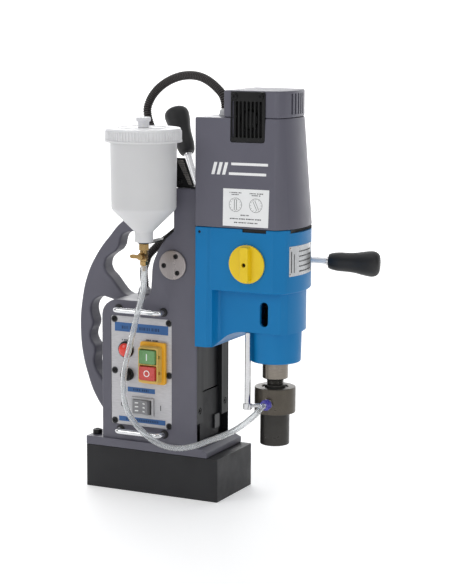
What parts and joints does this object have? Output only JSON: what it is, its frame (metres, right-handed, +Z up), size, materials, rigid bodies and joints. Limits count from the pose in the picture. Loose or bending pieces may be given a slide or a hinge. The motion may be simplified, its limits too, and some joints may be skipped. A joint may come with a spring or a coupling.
{
  "type": "magnetic drill press",
  "caption": "Portable magnetic-base drilling machine with a capstan-fed motor head, speed knob, switch panel and gravity coolant bottle.",
  "frame": {"origin": "centre of the magnet's clamping face", "axes": "+X forward from the column to the spindle, +Z up along the feed, operator panel on -Y"},
  "size_m": [0.3835, 0.2966, 0.5663],
  "materials": {
    "cast": "satin",
    "shell": "satin",
    "magnet": "satin",
    "black": "satin",
    "black_plastic": "satin",
    "blue": "satin",
    "steel": "satin",
    "chrome": "polished",
    "rubber": "matte",
    "yellow": "satin",
    "panel": "satin",
    "amber": "satin",
    "green": "satin",
    "red": "satin",
    "lens": "gloss",
    "grey": "matte",
    "brass": "satin",
    "bottle": "matte",
    "violet": "satin",
    "copper": "satin",
    "epoxy": "matte",
    "clear": "gloss",
    "nylon": "matte",
    "oxide": "satin"
  },
  "bodies": {
    "frame": {"magnet_body": "magnet", "magnet_coil": "copper", "magnet_potting": "epoxy", "column_casting": "cast", "guide_rail_near": "black", "guide_rail_far": "black", "top_plate": "black", "control_panel": "panel", "switch_body": "amber", "lamp_bezel": "black_plastic", "lamp_lens": "lens", "fuse_holder": "black_plastic", "rocker_frame": "grey", "guard_bar_upper": "chrome", "guard_bar_lower": "chrome", "bottle_bracket": "black", "reservoir_bottle": "bottle", "valve_body": "brass", "gland_lower": "nylon", "bearing_cover": "steel", "conduit": "black_plastic", "coolant_hose": "clear"},
    "carriage": {"slide": "black", "rack": "steel", "gearbox_casing": "blue", "bearing_plate": "steel", "motor_housing": "shell", "motor_cap": "shell", "vent_grille_near": "black_plastic", "vent_grille_far": "black_plastic", "stator": "steel", "gland_upper": "nylon", "coolant_ring": "oxide", "torque_rod": "chrome", "torque_arm": "chrome", "hose_fitting": "violet", "spindle_bearing": "steel"},
    "gear_knob": {"speed_knob": "yellow"},
    "spindle_set": {"spindle": "steel", "output_gear": "steel", "arbor": "oxide", "set_screw_1": "oxide", "set_screw_2": "oxide"},
    "layshaft_set": {"layshaft": "steel"},
    "rotor": {"armature": "copper", "cooling_fan": "black_plastic"},
    "capstan": {"pinion_shaft": "steel", "capstan_hub": "black", "spoke_1": "chrome", "spoke_2": "chrome", "spoke_3": "chrome", "grip_1": "rubber", "grip_2": "rubber", "grip_3": "rubber"},
    "start_key": {"start_button": "green"},
    "stop_key": {"stop_button": "red"},
    "magnet_rocker": {"rocker_key": "grey"},
    "lever": {"valve_lever": "brass"},
    "lid": {"bottle_lid": "bottle"},
    "plug": {"vent_plug": "bottle"}
  },
  "joints": [
    {"name": "feed_slide", "type": "slide", "parent": "frame", "child": "carriage", "axis": [0, 0, 1], "range_m": [-0.065, 0.055], "deforming": ["conduit", "coolant_hose"]},
    {"name": "capstan_turn", "type": "hinge", "parent": "frame", "child": "capstan", "pos_m": [0.0326, 0, 0.3142], "axis": [0, 1, 0], "range_deg": [-212, 250]},
    {"name": "rotor_spin", "type": "hinge", "parent": "carriage", "child": "rotor", "pos_m": [0.137, 0, 0.4], "axis": [0, 0, 1], "continuous": true},
    {"name": "layshaft_spin", "type": "hinge", "parent": "carriage", "child": "layshaft_set", "pos_m": [0.118, 0.018, 0.3], "axis": [0, 0, 1], "continuous": true},
    {"name": "spindle_spin", "type": "hinge", "parent": "carriage", "child": "spindle_set", "pos_m": [0.1593, 0, 0.2], "axis": [0, 0, 1], "continuous": true},
    {"name": "knob_turn", "type": "hinge", "parent": "carriage", "child": "gear_knob", "pos_m": [0.1415, -0.055, 0.3225], "axis": [0, -1, 0], "range_deg": [0, 180]},
    {"name": "start_press", "type": "slide", "parent": "frame", "child": "start_key", "axis": [0, 1, 0], "range_m": [0, 0.0025], "stiffness_N_per_m": 500},
    {"name": "stop_press", "type": "slide", "parent": "frame", "child": "stop_key", "axis": [0, 1, 0], "range_m": [0, 0.0025], "stiffness_N_per_m": 500},
    {"name": "rocker_tilt", "type": "hinge", "parent": "frame", "child": "magnet_rocker", "pos_m": [-0.014, -0.043, 0.118], "axis": [0, 0, 1], "range_deg": [0, 16]},
    {"name": "lever_turn", "type": "hinge", "parent": "frame", "child": "lever", "pos_m": [0.01, -0.1, 0.3295], "axis": [0, -1, 0], "range_deg": [0, 90]},
    {"name": "lid_lift", "type": "slide", "parent": "frame", "child": "lid", "axis": [0, 0, 1], "range_m": [0, 0.03]},
    {"name": "plug_lift", "type": "slide", "parent": "lid", "child": "plug", "axis": [0, 0, 1], "range_m": [0, 0.015]}
  ],
  "couplings": [
    {"joint": "capstan_turn", "follows": "feed_slide", "rad_per_m": -66.667},
    {"joint": "layshaft_spin", "follows": "rotor_spin", "ratio": -0.25},
    {"joint": "spindle_spin", "follows": "rotor_spin", "ratio": 0.16667}
  ]
}
